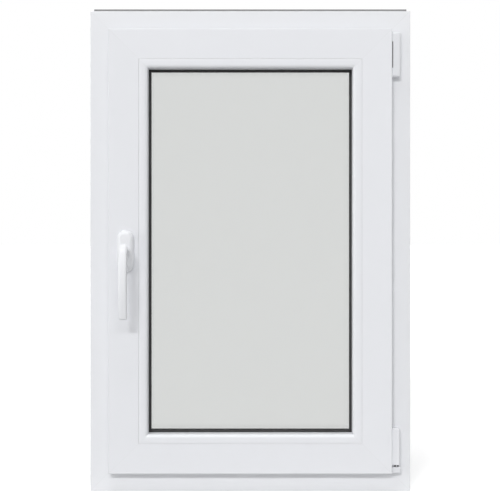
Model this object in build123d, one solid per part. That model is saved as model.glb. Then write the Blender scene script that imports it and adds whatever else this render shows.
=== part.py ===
"""Tilt and turn basement window: white plastic frame and sash, sealed double glass.

Millimetres, +Z up, +X to the right seen from the room, the room on the -Y side. The
origin is the middle of the frame's underside. A profile is drawn once in (u, y):
u runs inward from the frame's outer edge and y is the depth.
"""
import os

from build123d import *

# Size of the frame seen from the room
window_width = 600
window_height = 900

# Frame profile across its width, from the outer edge inward
frame_reveal = 36.4
sash_lap = 8
rebate_air = 12
outer_lap = 9.6

# Sash profile across its width
sash_body = 36
setting_gap = 6
bead_width = 17
inner_seal_reveal = 4.6
outer_seal_reveal = 1

# Depths, from the room side to the outside
flange_thickness = 13.5
lap_seal_thickness = 3.5
bead_depth = 22
glass_seal_thickness = 3
pane_thickness = 4
pane_gap = 16
lip_thickness = 18
outer_seal_thickness = 4
upstand_thickness = 13

# Edge forms and grooves of the profiles
frame_edge_radius = 1.2
sash_edge_radius = 1.5
small_radius = 1
lip_slope = 6
lip_face = 2
upstand_slope = 4
hardware_groove_width = 16
hardware_groove_depth = 3
fixing_groove_width = 8
fixing_groove_depth = 3
fixing_groove_spacing = 38
bead_joint = 0.2
bead_crown = 5
bead_step = 0.25
bead_nose = 6
bead_edge = 2
bead_hook_depth = 3
bead_hook_height = 5
seal_hook = 5
seal_inset = 2
seal_taper = 1
spacer_height = 7

# Strip on the head and drain caps on the sill
strip_thickness = 3.5
strip_width = 14
strip_end_inset = 7
strip_setback = 1.5
drain_cap_width = 46
drain_cap_height = 13
drain_cap_thickness = 3
drain_cap_level = 17
drain_cap_inset = 95
drain_cap_radius = 3
drain_cap_wall = 1
drain_cap_rim = 4

# Handle on the lock stile
handle_backset = 32.4
handle_height = 450
rosette_width = 31
rosette_height = 79
rosette_thickness = 11
rosette_draft = 8
rosette_edge = 1.5
rosette_end_flat = 2
collar_radius = 9.5
collar_length = 4
collar_edge = 0.8
neck_radius = 7
lever_width = 15.2
lever_above = 15
lever_below = 124
lever_reach = 50
lever_thickness = 12
lever_tip_thickness = 9
lever_bow = 10
lever_corner = 3.2
lever_edge = 2.5
lever_back_edge = 1.5

# Hinges on the hinge stile
hinge_wall = 1.5
hinge_clearance = 0.3
pin_clearance = 0.05
hinge_projection = 11
hinge_plate = 1.5
strap_thickness = 1.8
sleeve_wall = 1.2
top_pin_radius = 2.5
top_cover_width = 17
top_cover_radius = 5
top_cover_end = 3.5
top_cover_height = 84
top_cover_drop = 5
top_slot_height = 49
top_slot_width = 2.4
bottom_pin_radius = 2.2
bottom_screw_radius = 1.8
bottom_pin_seat = 2
bottom_screw_spacing = 5
bottom_cover_width = 14.2
bottom_cover_height = 68
bottom_cover_step = 3
bottom_cover_radius = 2.5
bottom_cover_end = 1
bottom_gap = 4.5
lower_cover_width = 16.4
lower_cover_height = 11

# How far a cut runs past what it cuts
cut_margin = 1

# Depth stations worked out from the sizes above
glass_unit = 2 * pane_thickness + pane_gap
sash_depth = bead_depth + 2 * glass_seal_thickness + glass_unit + lip_thickness
sash_proud = flange_thickness + lap_seal_thickness
frame_depth = sash_depth - sash_proud + outer_seal_thickness + upstand_thickness
room_face = -frame_depth / 2
outside_face = frame_depth / 2
sash_front = room_face - sash_proud
sash_back = sash_front + sash_depth
upstand_face = outside_face - upstand_thickness
flange_back = sash_front + flange_thickness
bead_back = sash_front + bead_depth
inner_pane_front = bead_back + glass_seal_thickness
inner_pane_back = inner_pane_front + pane_thickness
outer_pane_front = inner_pane_back + pane_gap
outer_pane_back = outer_pane_front + pane_thickness
lip_front = outer_pane_back + glass_seal_thickness

# Stations across the profiles, inward from the frame's outer edge
rebate_floor = frame_reveal + sash_lap
sash_rebate = rebate_floor + rebate_air
upstand_top = sash_rebate + outer_lap
glazing_floor = sash_rebate + sash_body
glass_edge = glazing_floor + setting_gap
bead_top = glazing_floor + bead_width
sash_right = window_width / 2 - frame_reveal
handle_x = -sash_right + handle_backset

SIDES = ("top", "bottom", "left", "right")


def outline(*corners):
    """Face from (u, y) corners; a third value rounds that corner."""
    points = [(corner[0], corner[1]) for corner in corners]
    radii = [corner[2] if len(corner) > 2 else 0 for corner in corners]
    if not any(radii):
        return make_face(Polyline(*points, close=True))
    return make_face(FilletPolyline(*points, radius=radii, close=True))


def box_between(low, high):
    """Box from its lowest to its highest corner."""
    size = [high[i] - low[i] for i in range(3)]
    centre = [(high[i] + low[i]) / 2 for i in range(3)]
    return Pos(*centre) * Box(*size)


def side_plane(side):
    """Plane whose x runs inward from that side of the frame and whose y is the depth."""
    if side == "bottom":
        return Plane(origin=(window_width / 2, 0, 0), x_dir=(0, 0, 1), z_dir=(-1, 0, 0))
    if side == "top":
        return Plane(origin=(-window_width / 2, 0, window_height), x_dir=(0, 0, -1), z_dir=(1, 0, 0))
    if side == "left":
        return Plane(origin=(-window_width / 2, 0, 0), x_dir=(1, 0, 0), z_dir=(0, 0, 1))
    return Plane(origin=(window_width / 2, 0, window_height), x_dir=(-1, 0, 0), z_dir=(0, 0, -1))


def mitre_block(side, reach):
    """Prism that keeps one side of the ring, cut at 45 degrees at both ends."""
    half = window_width / 2
    low, high = 0, window_height
    corners = {
        "bottom": [(-half, low), (half, low), (half - reach, low + reach), (-half + reach, low + reach)],
        "top": [(-half, high), (half, high), (half - reach, high - reach), (-half + reach, high - reach)],
        "left": [(-half, low), (-half + reach, low + reach), (-half + reach, high - reach), (-half, high)],
        "right": [(half, low), (half - reach, low + reach), (half - reach, high - reach), (half, high)],
    }
    face = Plane.XZ * make_face(Polyline(*corners[side], close=True))
    return extrude(face, 2 * sash_depth, both=True)


def member(section, side):
    """One mitred length of a profile on a side of the window."""
    length = window_width if side in ("top", "bottom") else window_height
    bar = extrude(side_plane(side) * section, length)
    reach = section.bounding_box().max.X + cut_margin
    return (bar & mitre_block(side, reach)).solids()[0]


def ring(section):
    """The profile all the way round as one solid."""
    whole = [member(section, side) for side in SIDES]
    return (whole[0] + whole[1:]).solids()[0]


def frame_section():
    """Outer frame: room leg, rebate with its groove, upstand towards the outside."""
    groove_low = (flange_back + sash_back - hardware_groove_width) / 2
    groove_high = groove_low + hardware_groove_width
    body = outline(
        (0, room_face, frame_edge_radius),
        (rebate_floor, room_face, small_radius),
        (rebate_floor, groove_low),
        (rebate_floor - hardware_groove_depth, groove_low),
        (rebate_floor - hardware_groove_depth, groove_high),
        (rebate_floor, groove_high),
        (rebate_floor, upstand_face, small_radius),
        (upstand_top, upstand_face),
        (upstand_top, upstand_face + lip_face, small_radius),
        (upstand_top - upstand_slope, outside_face, small_radius),
        (0, outside_face, small_radius),
    )
    for way in (-1, 1):
        middle = way * fixing_groove_spacing / 2
        groove = Pos(0, middle) * Rectangle(2 * fixing_groove_depth, fixing_groove_width)
        body -= groove
    return body


def sash_section():
    """Sash: lap flange, hardware groove, glazing rebate with the bead's hook, outer lip."""
    groove_low = (flange_back + sash_back - hardware_groove_width) / 2
    groove_high = groove_low + hardware_groove_width
    hook_low = bead_back - bead_hook_height - bead_hook_depth
    hook_high = hook_low + bead_hook_height
    return outline(
        (frame_reveal, sash_front, sash_edge_radius),
        (glazing_floor, sash_front),
        (glazing_floor, hook_low),
        (glazing_floor - bead_hook_depth, hook_low),
        (glazing_floor - bead_hook_depth, hook_high),
        (glazing_floor, hook_high),
        (glazing_floor, lip_front),
        (bead_top, lip_front),
        (bead_top, lip_front + lip_face, small_radius),
        (bead_top - lip_slope, sash_back, small_radius),
        (sash_rebate, sash_back, small_radius),
        (sash_rebate, groove_high),
        (sash_rebate + hardware_groove_depth, groove_high),
        (sash_rebate + hardware_groove_depth, groove_low),
        (sash_rebate, groove_low),
        (sash_rebate, flange_back),
        (frame_reveal, flange_back, small_radius),
    )


def bead_section():
    """Glazing bead: gently crowned face, round nose at the glass, hooked foot."""
    start = glazing_floor + bead_joint
    hook_low = bead_back - bead_hook_height - bead_hook_depth
    hook_top = hook_low + bead_hook_height - bead_joint
    heel = (start, sash_front + bead_step)
    crown = (start + bead_crown, sash_front)
    nose = (bead_top - bead_nose, sash_front + bead_step)
    nose_end = (bead_top, sash_front + bead_step + bead_nose)
    rise = TangentArc(crown, heel, tangent=(-1, 0))
    fall = TangentArc(crown, nose, tangent=(1, 0))
    round_nose = TangentArc(nose, nose_end, tangent=fall % 1)
    back = Polyline(
        nose_end,
        (bead_top, bead_back - bead_edge),
        (bead_top - bead_edge, bead_back),
        (glazing_floor, bead_back),
        (glazing_floor, hook_top),
        (glazing_floor - bead_hook_depth + bead_joint, hook_top),
        (glazing_floor - bead_hook_depth + bead_joint, hook_low + bead_joint),
        (start, hook_low + bead_joint),
        heel,
    )
    return make_face([rise, fall, round_nose, back])


def inner_seal_section():
    """Seal between the bead and the inner pane, its lip standing past the bead."""
    edge = bead_top + inner_seal_reveal
    return outline(
        (bead_top - bead_width / 2, bead_back),
        (bead_top - bead_edge, bead_back),
        (bead_top, bead_back - bead_edge),
        (bead_top + bead_edge, bead_back - bead_edge),
        (edge, inner_pane_front - small_radius),
        (edge, inner_pane_front),
        (bead_top - bead_width / 2, inner_pane_front),
    )


def outer_seal_section():
    """Seal between the outer pane and the sash lip."""
    edge = bead_top + outer_seal_reveal
    return outline(
        (bead_top - bead_width / 2, outer_pane_back),
        (edge, outer_pane_back),
        (edge, outer_pane_back + small_radius),
        (bead_top, lip_front),
        (bead_top - bead_width / 2, lip_front),
    )


def pane(front, back):
    """Sheet of glass between two depths."""
    half = window_width / 2 - glass_edge
    return box_between((-half, front, glass_edge), (half, back, window_height - glass_edge))


def window_frame():
    """Outer frame, its seal, the strip on its head and its drain caps."""
    section = frame_section()
    parts = {
        "frame_head": member(section, "top"),
        "frame_sill": member(section, "bottom"),
        "frame_jamb_left": member(section, "left"),
        "frame_jamb_right": member(section, "right"),
    }
    seal = outline(
        (upstand_top - seal_hook, upstand_face),
        (upstand_top - seal_hook, upstand_face - outer_seal_thickness),
        (upstand_top - seal_taper, upstand_face - outer_seal_thickness, small_radius),
        (upstand_top, upstand_face),
    )
    parts["frame_seal"] = ring(seal)
    half = window_width / 2 - strip_end_inset
    strip_low = (-half, room_face + strip_setback, window_height)
    strip_high = (half, room_face + strip_setback + strip_width, window_height + strip_thickness)
    parts["head_strip"] = box_between(strip_low, strip_high)
    for name, way in (("left", -1), ("right", 1)):
        centre = way * (window_width / 2 - drain_cap_inset)
        parts["drain_cap_" + name] = drain_cap(centre)
    return parts


def drain_cap(centre):
    """Hooded cap over a drain slot: rounded corners and an open underside."""
    top = drain_cap_level + drain_cap_height
    half = drain_cap_width / 2
    face = Pos(centre, outside_face, (drain_cap_level + top) / 2) * Rot(90, 0, 0)
    plan = RectangleRounded(drain_cap_width, drain_cap_height, drain_cap_radius)
    shell = extrude(face * plan, -drain_cap_thickness)
    reach = half - drain_cap_rim
    back = outside_face + drain_cap_thickness - drain_cap_wall
    mouth = box_between(
        (centre - reach, outside_face, drain_cap_level - drain_cap_wall),
        (centre + reach, back, top - drain_cap_rim),
    )
    return (shell - mouth).solids()[0]


def window_sash():
    """Opening sash with its beads, seals and sealed glass."""
    section = sash_section()
    bead = bead_section()
    parts = {
        "sash_top_rail": member(section, "top"),
        "sash_bottom_rail": member(section, "bottom"),
        "sash_lock_stile": member(section, "left"),
        "sash_hinge_stile": member(section, "right"),
        "glass_pane_inside": pane(inner_pane_front, inner_pane_back),
        "glass_pane_outside": pane(outer_pane_front, outer_pane_back),
        "glass_seal_inside": ring(inner_seal_section()),
        "glass_seal_outside": ring(outer_seal_section()),
    }
    for side in SIDES:
        parts["glazing_bead_" + side] = member(bead, side)
    spacer = outline(
        (glass_edge, inner_pane_back),
        (glass_edge + spacer_height, inner_pane_back),
        (glass_edge + spacer_height, outer_pane_front),
        (glass_edge, outer_pane_front),
    )
    parts["glass_spacer"] = ring(spacer)
    lap_start = frame_reveal + seal_inset
    lap_seal = outline(
        (lap_start, flange_back),
        (lap_start + seal_hook, flange_back),
        (lap_start + seal_hook - seal_taper, room_face),
        (lap_start + seal_taper, room_face),
    )
    parts["sash_seal"] = ring(lap_seal)
    return parts


def handle():
    """Rosette on the lock stile, turning collar and hanging lever."""
    face = Plane(origin=(handle_x, sash_front, handle_height), x_dir=(1, 0, 0), z_dir=(0, -1, 0))
    plan = RectangleRounded(rosette_width, rosette_height, (rosette_width - rosette_end_flat) / 2)
    rosette = extrude(face * plan, rosette_thickness, taper=rosette_draft)
    rosette = chamfer(rosette.faces().sort_by(Axis.Y)[0].edges(), rosette_edge)
    collar = extrude(face.offset(rosette_thickness) * Circle(collar_radius), collar_length)
    collar = chamfer(collar.faces().sort_by(Axis.Y)[0].edges(), collar_edge)
    return {
        "handle_rosette": rosette.solids()[0],
        "handle_collar": collar.solids()[0],
        "handle_lever": lever(face.offset(rosette_thickness + collar_length)),
    }


def lever(seat):
    """Round neck out of the collar and a grip bowed away from the sash, its front edge rounded."""
    front = sash_front - lever_reach
    top = handle_height + lever_above
    tip = handle_height - lever_below
    middle = (top + tip) / 2
    side = Plane(origin=(handle_x - lever_width / 2, 0, 0), x_dir=(0, 1, 0), z_dir=(1, 0, 0))
    top_front = (front + lever_bow, top)
    tip_front = (front + lever_bow, tip)
    top_back = (front + lever_bow + lever_thickness, top)
    tip_back = (front + lever_bow + lever_tip_thickness, tip)
    bow = [
        ThreePointArc(top_front, (front, middle), tip_front),
        Line(tip_front, tip_back),
        ThreePointArc(tip_back, (front + lever_thickness, middle), top_back),
        Line(top_back, top_front),
    ]
    blade = extrude(side * make_face(bow), lever_width)
    half = lever_width / 2
    seen = FilletPolyline(
        (handle_x - half, tip),
        (handle_x + half, tip),
        (handle_x + half, top),
        (handle_x - half, top),
        radius=(lever_corner, lever_corner, half - small_radius, half - small_radius),
        close=True,
    )
    blade &= extrude(Plane.XZ * make_face(seen), 2 * sash_depth, both=True)
    blade = fillet(broad_face(blade, 0).edges(), lever_edge)
    blade = chamfer(broad_face(blade, 1).edges(), lever_back_edge)
    neck_length = lever_reach - rosette_thickness - collar_length - lever_thickness / 2
    neck = extrude(seat * Circle(neck_radius), neck_length)
    return (blade + neck).solids()[0]


def broad_face(blade, place):
    """The front (0) or the back (1) of the grip: its two largest faces in order of depth."""
    return blade.faces().sort_by(SortBy.AREA)[-2:].sort_by(Axis.Y)[place]


def cover_shell(width, height, projection, radius, end, soften):
    """Hinge cover against the sash's edge (x = 0), hollow and open at its back (y = 0).

    Its outer front edge has the radius. Its two ends are softened by a fillet or a chamfer."""
    block = box_between((0, -projection, 0), (width, 0, height))
    block = fillet(front_corner(block), radius)
    ends = block.faces().filter_by(Axis.Z).edges()
    seen = ends - ends.group_by(Axis.Y)[-1] - ends.group_by(Axis.X)[0]
    block = soften(seen, end)
    wall = hinge_wall
    inner = box_between((wall, -projection + wall, wall), (width - wall, cut_margin, height - wall))
    inner = fillet(front_corner(inner), radius - wall)
    return (block - inner).solids()[0]


def front_corner(block):
    """The upright edge of a block that is farthest from the sash and nearest the room."""
    return block.edges().filter_by(Axis.Z).group_by(Axis.Y)[0].sort_by(Axis.X)[-1]


def upright(x, y, low, high, radius):
    """Upright round bar between two levels."""
    return Pos(x, y, (low + high) / 2) * Cylinder(radius, high - low)


def cover_block(width, radius, low, high):
    """Body that fills a hinge cover with clearance, standing on the frame's face."""
    gap = hinge_wall + hinge_clearance
    left = sash_right + hinge_clearance + gap
    right = sash_right + hinge_clearance + width - gap
    front = room_face - hinge_projection + gap
    block = box_between((left, front, low + gap), (right, room_face, high - gap))
    return fillet(front_corner(block), radius - hinge_wall)


def leaf_box(low, high, thickness, clearance=0):
    """Room of the strap's leaf between the cover's front wall and the lap flange's back."""
    front = room_face - hinge_projection + hinge_wall + hinge_clearance
    back = flange_back - small_radius
    return box_between(
        (sash_right, front - clearance, low - clearance),
        (sash_right + thickness, back + clearance, high + clearance),
    )


def strap(pin_x, pin_y, low, high, radius):
    """Leaf flat on the sash's edge, joined to a sleeve that turns on the pin."""
    half = strap_thickness / 2
    link = box_between((sash_right, pin_y - half, low), (pin_x, pin_y + half, high))
    sleeve = upright(pin_x, pin_y, low, high, radius + pin_clearance + sleeve_wall)
    hole = upright(pin_x, pin_y, low - cut_margin, high + cut_margin, radius + pin_clearance)
    return (leaf_box(low, high, strap_thickness) + link + sleeve - hole).solids()[0]


def top_hinge():
    """Bearing on the frame, its pin, the strap on the sash and the cover over them."""
    left = sash_right + hinge_clearance
    low = window_height - frame_reveal - top_cover_drop - top_cover_height
    high = low + top_cover_height
    slot_low = (low + high - top_slot_height) / 2
    slot_high = slot_low + top_slot_height
    pin_x = left + (top_cover_width + hinge_wall) / 2
    pin_y = room_face - hinge_projection / 2
    cover = Pos(left, room_face, low) * cover_shell(
        top_cover_width, top_cover_height, hinge_projection, top_cover_radius, top_cover_end, fillet
    )
    cover -= box_between(
        (left - cut_margin, room_face - hinge_projection - cut_margin, slot_low),
        (left + top_slot_width, room_face, slot_high),
    )
    body = cover_block(top_cover_width, top_cover_radius, low, high)
    recess = box_between(
        (left, room_face - hinge_projection, slot_low),
        (left + top_cover_width, room_face - hinge_plate, slot_high),
    )
    gap = hinge_wall + hinge_clearance
    hole = upright(pin_x, pin_y, low, high, top_pin_radius + pin_clearance)
    return {
        "top_hinge_cover": cover.solids()[0],
        "top_hinge_bearing": (body - recess - hole).solids()[0],
        "top_hinge_pin": upright(pin_x, pin_y, low + gap, high - gap, top_pin_radius),
        "top_hinge_strap": strap(
            pin_x, pin_y, slot_low + hinge_clearance, slot_high - hinge_clearance, top_pin_radius
        ),
    }


def bottom_hinge():
    """Corner bearing under its cover, and the sash sleeve under the taller one."""
    left = sash_right + hinge_clearance
    base = frame_reveal
    shelf = base + lower_cover_height
    low = shelf + bottom_gap
    high = low + bottom_cover_height
    pin_x = left + bottom_cover_width / 2 - hinge_clearance
    pin_y = room_face - hinge_projection / 2
    screw_x = pin_x + bottom_screw_spacing
    gap = hinge_wall + hinge_clearance
    upper_projection = hinge_projection + bottom_cover_step - hinge_clearance
    radius = bottom_cover_radius
    end = bottom_cover_end
    upper = Pos(left, room_face - hinge_clearance, low) * cover_shell(
        bottom_cover_width, bottom_cover_height, upper_projection, radius, end, chamfer
    )
    lower = Pos(left, room_face, base) * cover_shell(
        lower_cover_width, lower_cover_height, hinge_projection, radius, end, chamfer
    )
    leaf_low = low + gap
    leaf_high = high - gap
    pin_high = low + bottom_cover_height / 2
    pin_low = base + gap + bottom_pin_seat
    pin_hole = upright(pin_x, pin_y, pin_low, high, bottom_pin_radius + pin_clearance)
    screw_hole = upright(screw_x, pin_y, shelf - gap, leaf_low, bottom_screw_radius + pin_clearance)
    block = cover_block(lower_cover_width, radius, base, shelf)
    pad = leaf_box(leaf_low, leaf_high, hinge_wall + strap_thickness, hinge_clearance)
    return {
        "bottom_hinge_upper_cover": (upper - pad - pin_hole - screw_hole).solids()[0],
        "bottom_hinge_lower_cover": (lower - pin_hole - screw_hole).solids()[0],
        "bottom_hinge_bearing": (block - pin_hole).solids()[0],
        "bottom_hinge_strap": strap(pin_x, pin_y, leaf_low, leaf_high, bottom_pin_radius),
        "bottom_hinge_pin": upright(pin_x, pin_y, pin_low, pin_high, bottom_pin_radius),
        "bottom_hinge_screw": upright(screw_x, pin_y, shelf - gap, leaf_low, bottom_screw_radius),
    }


def build():
    """All pieces by name."""
    parts = {}
    for group in (window_frame, window_sash, handle, top_hinge, bottom_hinge):
        parts.update(group())
    return parts


os.makedirs("parts", exist_ok=True)
for name, shape in build().items():
    shape.label = name
    export_step(shape, f"parts/{name}.step")
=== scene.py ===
"""Looks of the tilt and turn basement window, in metres, in the frame of its model.

The room side faces -Y. The script gives every solid of the model its material, makes the
moulded handle and the bush of the bottom hinge, and sets the floor, lamps and camera.
"""
import math

import bmesh
import bpy
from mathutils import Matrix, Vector


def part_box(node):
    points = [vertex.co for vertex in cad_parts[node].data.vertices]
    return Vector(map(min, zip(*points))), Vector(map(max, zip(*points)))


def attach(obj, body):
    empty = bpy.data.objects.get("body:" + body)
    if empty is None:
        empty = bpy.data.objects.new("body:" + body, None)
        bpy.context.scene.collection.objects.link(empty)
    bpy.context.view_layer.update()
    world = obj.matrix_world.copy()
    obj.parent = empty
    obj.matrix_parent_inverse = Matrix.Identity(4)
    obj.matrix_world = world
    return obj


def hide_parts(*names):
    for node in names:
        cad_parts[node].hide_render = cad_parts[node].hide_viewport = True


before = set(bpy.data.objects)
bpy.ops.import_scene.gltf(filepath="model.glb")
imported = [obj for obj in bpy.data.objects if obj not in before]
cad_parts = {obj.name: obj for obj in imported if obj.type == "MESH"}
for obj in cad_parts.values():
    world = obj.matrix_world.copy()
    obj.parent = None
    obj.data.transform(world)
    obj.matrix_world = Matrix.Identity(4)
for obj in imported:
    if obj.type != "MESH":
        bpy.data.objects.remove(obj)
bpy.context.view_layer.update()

# Camera: level, square to the window, a little above its middle
photo_width_px = 500
scale_m_per_px = 0.0018755
camera_distance = 1.7
camera_rise = 0.0469
sensor_width_mm = 36.0
view_centre_x = -0.00056
view_centre_z = 0.4519

# Light: the lamps stand far off, in front of the window or behind it. left and up say where,
# as slopes seen from the window, width and height are shares of the distance, and share is
# how much of plain white light a lamp gives the face that is turned to it.
lamp_distance = 30.0
front_lamps = {
    "bar": {"left": 0.05, "up": 0.75, "width": 1.1, "height": 0.1, "share": 0.225},
    "key": {"left": 0.4, "up": 0.75, "width": 0.3, "height": 0.1, "share": 0.185},
    "top": {"left": 0.3, "up": 4.0, "width": 2.0, "height": 1.0, "share": 0.060},
    "left": {"left": 3.0, "up": 0.5, "width": 0.5, "height": 1.0, "share": 0.067},
    "right": {"left": -3.0, "up": 0.5, "width": 0.5, "height": 1.0, "share": 0.028},
}
back_lamp = {"left": -0.4, "up": 0.15, "width": 0.8, "height": 0.2, "share": 0.4}
in_front = -1
behind = 1
sky_strength = 0.26
paper_white = 1.0
floor_size = 40
floor_colour = (0.72, 0.72, 0.72, 1)
floor_roughness = 0.9
floor_glow = 0.5

# Faces that meet at more than this angle keep a crisp arris between them
sharp_angle = math.radians(30)

# Rings and ends of the moulded pieces: a power of 2 is round, and a higher one is squarer
ring_points = 96
round_power = 2.0

# Rosette and lever, metres. grip_end_share is how much of the grip's length its rings cover,
# and grip_seat is how far back through its thickness its ends close.
rosette_steps = 24
rosette_roll = 0.008
grip_steps = 80
grip_end_share = 0.9995
grip_bow = 0.010
grip_thickness = 0.012
grip_tip_thickness = 0.009
grip_power = 3.6
grip_seat = 0.7
grip_top_round = 0.0078
grip_top_power = 2.3
grip_top_roll = 0.016
grip_tip_round = 0.0028
neck_steps = 30
neck_radius = 0.0068
neck_flare = 0.0012
neck_flare_length = 0.0012

# Bush between the bottom covers, metres
bush_setback = 0.0010
bush_inset = 0.0008
bush_edge = 0.0003
bush_power = 8

# Noise: the part of its range that shows, its detail, and how much finer gloss varies than colour
noise_range = (0.3, 0.7)
colour_detail = 3.0
value_detail = 4.0
grain_detail = 2.0
gloss_fineness = 4

# Wear: how alike the rounded and the plain normal are on a flat and on a full arris, the least
# and the greatest strength of the patches, and roughly how many there are to a metre
arris_samples = 4
arris_flat = 0.995
arris_full = 0.85
arris_patches = (0.3, 1.0)
arris_patch_scale = 45

# First, second and result sockets of the mix node for each kind of data
mix_sockets = {"RGBA": (6, 7, 2), "FLOAT": (2, 3, 0)}

# Colours are linear; each is what the surface shows in plain light, but the frame's white carries
# painted light and the pins' dark carries painted shade
plastic_white = (0.775, 0.785, 0.815, 1)
# Frame white: the sash's plastic painted about two and a half percent lighter, as painted light for
# the brighter frame beside the sash
frame_white_painted_lighter = (0.795, 0.805, 0.83, 1)
powder_white = (0.79, 0.80, 0.825, 1)
seal_black = (0.018, 0.018, 0.019, 1)
strip_grey = (0.28, 0.28, 0.285, 1)
metal_dark = (0.20, 0.20, 0.205, 1)
# Pin dark: the hinge steel painted darker, as painted shade for the shadowed gap between the bottom
# covers
pin_dark_painted_shade = (0.07, 0.07, 0.072, 1)
spacer_dark = (0.055, 0.055, 0.058, 1)
rubbed_white = (0.70, 0.705, 0.72, 1)
rubbed_black = (0.06, 0.06, 0.06, 1)
rubbed_metal = (0.42, 0.42, 0.43, 1)

# Glass: a slow drift of its tint, and the faint waves of float glass
glass_tint = (0.815, 0.822, 0.817, 1)
glass_drift_scale = 1.5
glass_drift = 0.002
glass_wave_scale = 1.2
glass_wave_height = 0.00001
glass_wave_detail = 0.0
glass_index = 1.5

# Finishes. roughness is its two limits, grain and ripple are (scale, height in metres), and
# wear is (colour, reach in metres). Drawn plastic has its pattern pulled out along its length.
along_x = (0.05, 1, 1)
along_z = (1, 1, 0.05)
drawn_plastic = {
    "roughness": (0.28, 0.38), "grain": (900, 0.000003), "ripple": (60, 0.00001),
    "drift": 0.008, "wear": (rubbed_white, 0.0012),
}
finishes = {
    "frame_plastic_level": {"colour": frame_white_painted_lighter, "stretch": along_x, **drawn_plastic},
    "frame_plastic_upright": {"colour": frame_white_painted_lighter, "stretch": along_z, **drawn_plastic},
    "sash_plastic_level": {"colour": plastic_white, "stretch": along_x, **drawn_plastic},
    "sash_plastic_upright": {"colour": plastic_white, "stretch": along_z, **drawn_plastic},
    "seal_rubber": {
        "colour": seal_black, "roughness": (0.55, 0.7), "grain": (1500, 0.00001),
        "drift": 0.1, "drift_scale": 20, "wear": (rubbed_black, 0.0006), "worn_roughness": 0.8,
    },
    "head_strip_foam": {
        "colour": strip_grey, "roughness": (0.8, 0.95), "grain": (2500, 0.00005),
        "drift": 0.06, "drift_scale": 60,
    },
    "moulded_white": {
        "colour": plastic_white, "roughness": (0.35, 0.45), "grain": (1200, 0.000008),
        "wear": (rubbed_white, 0.0008),
    },
    "powder_coat": {
        "colour": powder_white, "roughness": (0.32, 0.42), "grain": (700, 0.00002),
        "wear": (rubbed_white, 0.0006), "worn_roughness": 0.3,
    },
    "hinge_steel": {
        "colour": metal_dark, "roughness": (0.35, 0.55), "grain": (900, 0.00001), "metallic": 0.8,
        "drift": 0.08, "drift_scale": 40, "wear": (rubbed_metal, 0.0005), "worn_roughness": 0.3,
    },
    # Pins and screw: the hinge steel with painted shade in its darker colour
    "pin_steel_painted_shade": {
        "colour": pin_dark_painted_shade, "roughness": (0.3, 0.45), "grain": (900, 0.00001), "metallic": 0.5,
        "drift": 0.08, "drift_scale": 40, "wear": (rubbed_metal, 0.0003), "worn_roughness": 0.3,
    },
    "spacer_bar": {
        "colour": spacer_dark, "roughness": (0.4, 0.5), "grain": (1500, 0.000005), "metallic": 0.5,
        "drift": 0.05, "drift_scale": 30,
    },
}
finish_of = {
    "frame_plastic_level": ("frame_head", "frame_sill"),
    "frame_plastic_upright": ("frame_jamb_left", "frame_jamb_right"),
    "sash_plastic_level": (
        "sash_top_rail", "sash_bottom_rail", "glazing_bead_top", "glazing_bead_bottom",
    ),
    "sash_plastic_upright": (
        "sash_lock_stile", "sash_hinge_stile", "glazing_bead_left", "glazing_bead_right",
    ),
    "seal_rubber": ("frame_seal", "sash_seal", "glass_seal_inside", "glass_seal_outside"),
    "head_strip_foam": ("head_strip",),
    "moulded_white": (
        "drain_cap_left", "drain_cap_right", "top_hinge_cover",
        "bottom_hinge_upper_cover", "bottom_hinge_lower_cover", "bottom_hinge_bush",
    ),
    "powder_coat": (
        "handle_rosette", "handle_collar", "handle_lever",
        "handle_rosette_cushion", "handle_lever_grip",
    ),
    "hinge_steel": (
        "top_hinge_bearing", "top_hinge_strap", "bottom_hinge_bearing", "bottom_hinge_strap",
    ),
    "pin_steel_painted_shade": ("top_hinge_pin", "bottom_hinge_pin", "bottom_hinge_screw"),
    "spacer_bar": ("glass_spacer",),
}


def shader(material):
    """Principled shader of a new material's tree."""
    material.use_nodes = True
    return next(n for n in material.node_tree.nodes if n.type == "BSDF_PRINCIPLED")


def add(tree, kind, **values):
    """New node with its properties and sockets set."""
    node = tree.nodes.new(kind)
    for key, value in values.items():
        if key in node.inputs:
            node.inputs[key].default_value = value
        else:
            setattr(node, key, value)
    return node


def reckoned(tree, operation, first, second):
    """Result of that operation on two values."""
    node = add(tree, "ShaderNodeMath", operation=operation)
    tree.links.new(first, node.inputs[0])
    tree.links.new(second, node.inputs[1])
    return node.outputs["Value"]


def remapped(tree, value, old, new):
    """Value carried over from one pair of limits to another, and held inside them."""
    node = add(tree, "ShaderNodeMapRange")
    for socket, limit in zip(("From Min", "From Max", "To Min", "To Max"), (*old, *new)):
        node.inputs[socket].default_value = limit
    tree.links.new(value, node.inputs["Value"])
    return node.outputs["Result"]


def mixed(tree, kind, mask, base, over):
    """The base, which gives way to the other where the mask is one."""
    first, second, result = mix_sockets[kind]
    node = add(tree, "ShaderNodeMix", data_type=kind)
    tree.links.new(mask, node.inputs[0])
    tree.links.new(base, node.inputs[first])
    node.inputs[second].default_value = over
    return node.outputs[result]


def either(tree, mask, plain, chosen):
    """The chosen shader where the mask is one, and the plain shader elsewhere."""
    node = add(tree, "ShaderNodeMixShader")
    tree.links.new(mask, node.inputs["Fac"])
    tree.links.new(plain, node.inputs[1])
    tree.links.new(chosen, node.inputs[2])
    return node.outputs["Shader"]


def object_point(tree, stretch=(1, 1, 1)):
    """Position in the object's own metres, scaled along its axes."""
    place = add(tree, "ShaderNodeTexCoord")
    mapping = add(tree, "ShaderNodeMapping")
    mapping.inputs["Scale"].default_value = stretch
    tree.links.new(place.outputs["Object"], mapping.inputs["Vector"])
    return mapping.outputs["Vector"]


def noise(tree, point, scale, detail):
    """Noise value at the point."""
    node = add(tree, "ShaderNodeTexNoise", Scale=scale, Detail=detail)
    tree.links.new(point, node.inputs["Vector"])
    return node.outputs["Fac"]


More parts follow.
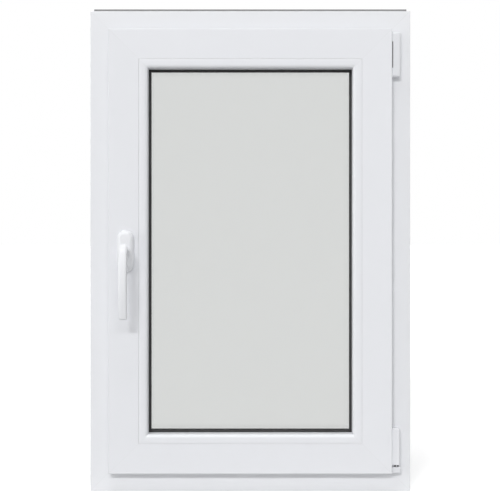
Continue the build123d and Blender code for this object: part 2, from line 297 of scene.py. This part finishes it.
def varied_colour(tree, point, colour, scale, spread):
    """Colour that drifts softly lighter and darker over the surface."""
    node = add(tree, "ShaderNodeValToRGB")
    for element, place, change in zip(node.color_ramp.elements, noise_range, (-spread, spread)):
        element.position = place
        element.color = [min(part * (1 + change), 1) for part in colour[:3]] + [1]
    tree.links.new(noise(tree, point, scale, colour_detail), node.inputs["Fac"])
    return node.outputs["Color"]


def varied_value(tree, point, limits, scale):
    """Value that wanders between two limits over the surface."""
    return remapped(tree, noise(tree, point, scale, value_detail), noise_range, limits)


def bumped(tree, point, scale, height, detail=grain_detail, under=None):
    """Normal of a grain of that height in metres, laid over another normal."""
    node = add(tree, "ShaderNodeBump", Distance=height, Strength=1.0)
    tree.links.new(noise(tree, point, scale, detail), node.inputs["Height"])
    if under:
        tree.links.new(under, node.inputs["Normal"])
    return node.outputs["Normal"]


def arris_mask(tree, reach):
    """One along the arrises, in patches, and none on the flats."""
    bevel = add(tree, "ShaderNodeBevel", samples=arris_samples, Radius=reach)
    shape = add(tree, "ShaderNodeNewGeometry")
    alike = add(tree, "ShaderNodeVectorMath", operation="DOT_PRODUCT")
    tree.links.new(bevel.outputs["Normal"], alike.inputs[0])
    tree.links.new(shape.outputs["Normal"], alike.inputs[1])
    turned = remapped(tree, alike.outputs["Value"], (arris_flat, arris_full), (0, 1))
    patches = varied_value(tree, object_point(tree), arris_patches, arris_patch_scale)
    return reckoned(tree, "MULTIPLY", turned, patches)


def surface(name, colour, roughness, grain, ripple=None, drift=0.01, drift_scale=6.0,
            stretch=(1, 1, 1), metallic=0.0, wear=None, worn_roughness=0.55):
    """Material with drifting colour, wandering roughness, a fine grain and worn arrises."""
    material = bpy.data.materials.new(name)
    bsdf = shader(material)
    tree = material.node_tree
    point = object_point(tree, stretch)
    tone = varied_colour(tree, point, colour, drift_scale, drift)
    gloss = varied_value(tree, point, roughness, drift_scale * gloss_fineness)
    if wear:
        worn_colour, reach = wear
        arrises = arris_mask(tree, reach)
        tone = mixed(tree, "RGBA", arrises, tone, worn_colour)
        gloss = mixed(tree, "FLOAT", arrises, gloss, worn_roughness)
    tree.links.new(tone, bsdf.inputs["Base Color"])
    tree.links.new(gloss, bsdf.inputs["Roughness"])
    waves = bumped(tree, point, *ripple) if ripple else None
    tree.links.new(bumped(tree, point, *grain, under=waves), bsdf.inputs["Normal"])
    bsdf.inputs["Metallic"].default_value = metallic
    return material


def glass_material():
    """Clear float glass with the greyish tint of a sealed unit."""
    material = bpy.data.materials.new("window_glass")
    bsdf = shader(material)
    tree = material.node_tree
    point = object_point(tree)
    tint = varied_colour(tree, point, glass_tint, glass_drift_scale, glass_drift)
    waves = bumped(tree, point, glass_wave_scale, glass_wave_height, glass_wave_detail)
    tree.links.new(tint, bsdf.inputs["Base Color"])
    tree.links.new(waves, bsdf.inputs["Normal"])
    bsdf.inputs["Roughness"].default_value = 0.0
    bsdf.inputs["IOR"].default_value = glass_index
    bsdf.inputs["Transmission Weight"].default_value = 1.0
    return material


def shade_smooth(piece):
    """Round stretches shade smoothly and the arrises stay crisp."""
    mesh = piece.data
    mesh.polygons.foreach_set("use_smooth", [True] * len(mesh.polygons))
    mesh.set_sharp_from_angle(angle=sharp_angle)


def loft(name, rings):
    """Closed skin over rings of points, one after another, with a face at each end."""
    mesh = bmesh.new()
    loops = [[mesh.verts.new(point) for point in ring] for ring in rings]
    for near, far in zip(loops, loops[1:]):
        for i in range(len(near)):
            mesh.faces.new((near[i - 1], near[i], far[i], far[i - 1]))
    mesh.faces.new(loops[0])
    mesh.faces.new(loops[-1])
    bmesh.ops.recalc_face_normals(mesh, faces=mesh.faces)
    data = bpy.data.meshes.new(name)
    mesh.to_mesh(data)
    mesh.free()
    piece = bpy.data.objects.new(name, data)
    bpy.context.scene.collection.objects.link(piece)
    return piece


def oval(across, along, power):
    """Ring of (u, v) pairs: an oval that a higher power makes squarer."""
    ring = []
    for i in range(ring_points):
        turn = 2 * math.pi * i / ring_points
        u, v = math.cos(turn), math.sin(turn)
        u = math.copysign(abs(u) ** (2 / power), u)
        v = math.copysign(abs(v) ** (2 / power), v)
        ring.append((across * u, along * v))
    return ring


def stadium(across, along, inset):
    """Ring of (u, v) pairs: two half rounds joined by straights, drawn in by an inset."""
    radius = across - inset
    ring = []
    for i in range(ring_points):
        # Half a step on, so that the two half rounds have as many points each
        turn = 2 * math.pi * (i + 0.5) / ring_points
        v = radius * math.sin(turn)
        ring.append((radius * math.cos(turn), v + math.copysign(along - across, v)))
    return ring


def rounded_end(distance, length, power=round_power):
    """Share of the full size at that distance from an end that rounds off over a length."""
    share = max(0, 1 - distance / length)
    return max(0, 1 - share ** power) ** (1 / power)


def joined(body, tool):
    """The body's skin and the tool's made one."""
    union = body.modifiers.new("join", "BOOLEAN")
    union.operation = "UNION"
    union.object = tool
    bpy.context.view_layer.update()
    finished = body.evaluated_get(bpy.context.evaluated_depsgraph_get())
    whole = bpy.data.meshes.new_from_object(finished)
    body.modifiers.clear()
    body.data = whole
    bpy.data.objects.remove(tool)
    return body


def make_rosette():
    """Cushion shaped rosette whose wall rolls over into its front face."""
    low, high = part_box("handle_rosette")
    middle = (low + high) / 2
    across, along = (high.x - low.x) / 2, (high.z - low.z) / 2
    rings = []
    for step in range(rosette_steps + 1):
        turn = math.pi / 2 * step / rosette_steps
        inset = rosette_roll * (1 - math.cos(turn))
        front = high.y - (high.y - low.y) * math.sin(turn)
        ring = stadium(across, along, inset)
        rings.append([(middle.x + u, front, middle.z + v) for u, v in ring])
    return loft("handle_rosette_cushion", rings)


def make_grip():
    """Grip bowed away from the sash, thinner to its tip, its top rolled back to the neck."""
    low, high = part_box("handle_lever")
    middle = (low + high) / 2
    half_width, half_length = (high.x - low.x) / 2, (high.z - low.z) / 2
    taper = (grip_thickness - grip_tip_thickness) / 2
    rings = []
    for step in range(grip_steps + 1):
        share = -math.cos(math.pi * step / grip_steps) * grip_end_share
        level = middle.z + half_length * share
        to_top, to_tip = high.z - level, level - low.z
        width = half_width * rounded_end(to_top, grip_top_round, grip_top_power)
        width *= rounded_end(to_tip, grip_tip_round)
        thickness = grip_thickness + taper * (share - share**2)
        fullness = rounded_end(to_top, grip_top_roll) * rounded_end(to_tip, grip_tip_round)
        front = low.y + grip_bow * share**2
        seat = front + thickness * grip_seat
        centre = seat - thickness * fullness * (grip_seat - 0.5)
        ring = oval(width, thickness * fullness / 2, grip_power)
        rings.append([(middle.x + u, centre + v, level) for u, v in ring])
    return loft("handle_grip", rings)


def make_neck():
    """Round neck from the collar into the grip, flared at both ends."""
    low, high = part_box("handle_lever")
    collar_low, collar_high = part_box("handle_collar")
    middle = (collar_low + collar_high) / 2
    rise = (middle.z - (low.z + high.z) / 2) / ((high.z - low.z) / 2)
    inside = low.y + grip_bow * rise**2 + grip_thickness / 2
    grip_back = inside + grip_thickness / 2
    rings = []
    for step in range(neck_steps + 1):
        place = high.y + (inside - high.y) * step / neck_steps
        to_grip, to_collar = place - grip_back, high.y - place
        nearness = math.exp(-to_grip / neck_flare_length) + math.exp(-to_collar / neck_flare_length)
        radius = neck_radius + neck_flare * min(nearness, 1)
        ring = oval(radius, radius, round_power)
        rings.append([(middle.x + u, place, middle.z + v) for u, v in ring])
    return loft("handle_neck", rings)


def make_bush():
    """Plastic bush round the pins in the gap between the two bottom covers."""
    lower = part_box("bottom_hinge_lower_cover")
    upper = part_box("bottom_hinge_upper_cover")
    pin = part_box("bottom_hinge_pin")
    back = lower[1].y
    front = pin[0].y + bush_setback
    left, right = upper[0].x + bush_inset, upper[1].x - bush_inset
    centre_x, centre_y = (left + right) / 2, (front + back) / 2
    low, high = lower[1].z, upper[0].z
    levels = ((low, bush_edge), (low + bush_edge, 0), (high - bush_edge, 0), (high, bush_edge))
    rings = []
    for level, shrink in levels:
        ring = oval((right - left) / 2 - shrink, (back - front) / 2 - shrink, bush_power)
        rings.append([(centre_x + u, centre_y + v, level) for u, v in ring])
    return loft("bottom_hinge_bush", rings)


def make_pieces():
    """The moulded forms that stand for, or sit between, the model's solids."""
    rosette = make_rosette()
    lever = joined(make_grip(), make_neck())
    lever.name = "handle_lever_grip"
    bush = make_bush()
    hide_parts("handle_rosette")
    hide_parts("handle_lever")
    slots = ((rosette, "handle_white"), (lever, "handle_white"), (bush, "hinge_cover_white"))
    for piece, slot in slots:
        shade_smooth(piece)
        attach(piece, "root")


def dress(material, names):
    """The material on each of these nodes and pieces."""
    for name in names:
        piece = bpy.data.objects[name]
        for slot in piece.material_slots:
            slot.material = material
        if not piece.material_slots:
            piece.data.materials.append(material)


def make_materials():
    """Every node's and piece's finish."""
    for name, names in finish_of.items():
        dress(surface(name, **finishes[name]), names)
    dress(glass_material(), ("glass_pane_inside", "glass_pane_outside"))


def make_floor():
    """Plain pale floor that shows white around the window and keeps its shadow."""
    bpy.ops.mesh.primitive_plane_add(size=floor_size, location=(0, 0, 0))
    floor = bpy.context.object
    floor.name = "floor"
    material = bpy.data.materials.new("floor_paper")
    bsdf = shader(material)
    bsdf.inputs["Base Color"].default_value = floor_colour
    bsdf.inputs["Roughness"].default_value = floor_roughness
    bsdf.inputs["Specular IOR Level"].default_value = 0.0
    tree = material.node_tree
    path = add(tree, "ShaderNodeLightPath")
    glow = add(tree, "ShaderNodeEmission", Strength=floor_glow)
    paper = add(tree, "ShaderNodeEmission", Strength=paper_white)
    lift = add(tree, "ShaderNodeAddShader")
    plain = bsdf.outputs["BSDF"]
    tree.links.new(plain, lift.inputs[0])
    tree.links.new(glow.outputs["Emission"], lift.inputs[1])
    seen = either(tree, path.outputs["Is Camera Ray"], plain, lift.outputs["Shader"])
    mirrored = path.outputs["Is Glossy Ray"]
    through = reckoned(tree, "MAXIMUM", path.outputs["Is Transmission Ray"], mirrored)
    shown = either(tree, through, seen, paper.outputs["Emission"])
    output = next(n for n in tree.nodes if n.type == "OUTPUT_MATERIAL")
    tree.links.new(shown, output.inputs["Surface"])
    floor.data.materials.append(material)


def make_world():
    """White surroundings for the eye, the glass and the gloss; softer light for the rest."""
    world = bpy.data.worlds.new("studio")
    bpy.context.scene.world = world
    world.use_nodes = True
    tree = world.node_tree
    path = add(tree, "ShaderNodeLightPath").outputs
    seen = reckoned(tree, "MAXIMUM", path["Is Camera Ray"], path["Is Transmission Ray"])
    white = reckoned(tree, "MAXIMUM", seen, path["Is Glossy Ray"])
    strength = remapped(tree, white, (0, 1), (sky_strength, paper_white))
    background = next(n for n in tree.nodes if n.type == "BACKGROUND")
    background.inputs["Color"].default_value = (1, 1, 1, 1)
    tree.links.new(strength, background.inputs["Strength"])


def area_light(name, side, left, up, width, height, share):
    """Lamp on one side of the window, tilted towards it and hidden from the eye and the glass."""
    lamp = bpy.data.lights.new(name, "AREA")
    lamp.shape = "RECTANGLE"
    lamp.size, lamp.size_y = width * lamp_distance, height * lamp_distance
    slant = 1 + up**2 + left**2
    lamp.energy = share * (math.pi * lamp_distance * slant) ** 2 / math.sqrt(1 + up**2)
    obj = bpy.data.objects.new(name, lamp)
    bpy.context.scene.collection.objects.link(obj)
    obj.location = Vector((0, 0, view_centre_z)) + Vector((-left, side, up)) * lamp_distance
    obj.rotation_euler = (math.atan2(-side, up), 0, 0)
    obj.visible_camera = obj.visible_transmission = False
    return obj


def make_lights():
    """Soft light from in front, above and the sides, and a fill from behind."""
    for name, values in front_lamps.items():
        area_light(name, in_front, **values)
    area_light("back", behind, **back_lamp).visible_glossy = False


def make_camera():
    """Level camera square to the window."""
    camera = bpy.data.cameras.new("camera")
    camera.sensor_width = sensor_width_mm
    photo_width = photo_width_px * scale_m_per_px
    camera.lens = sensor_width_mm * camera_distance / photo_width
    camera.shift_y = -camera_rise / photo_width
    obj = bpy.data.objects.new("camera", camera)
    bpy.context.scene.collection.objects.link(obj)
    room_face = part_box("frame_sill")[0].y
    obj.location = (view_centre_x, room_face - camera_distance, view_centre_z + camera_rise)
    obj.rotation_euler = (math.radians(90), 0, 0)
    bpy.context.scene.camera = obj


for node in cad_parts.values():
    shade_smooth(node)
make_pieces()
make_materials()
make_floor()
make_world()
make_lights()
make_camera()
bpy.context.scene.view_settings.view_transform = "Standard"
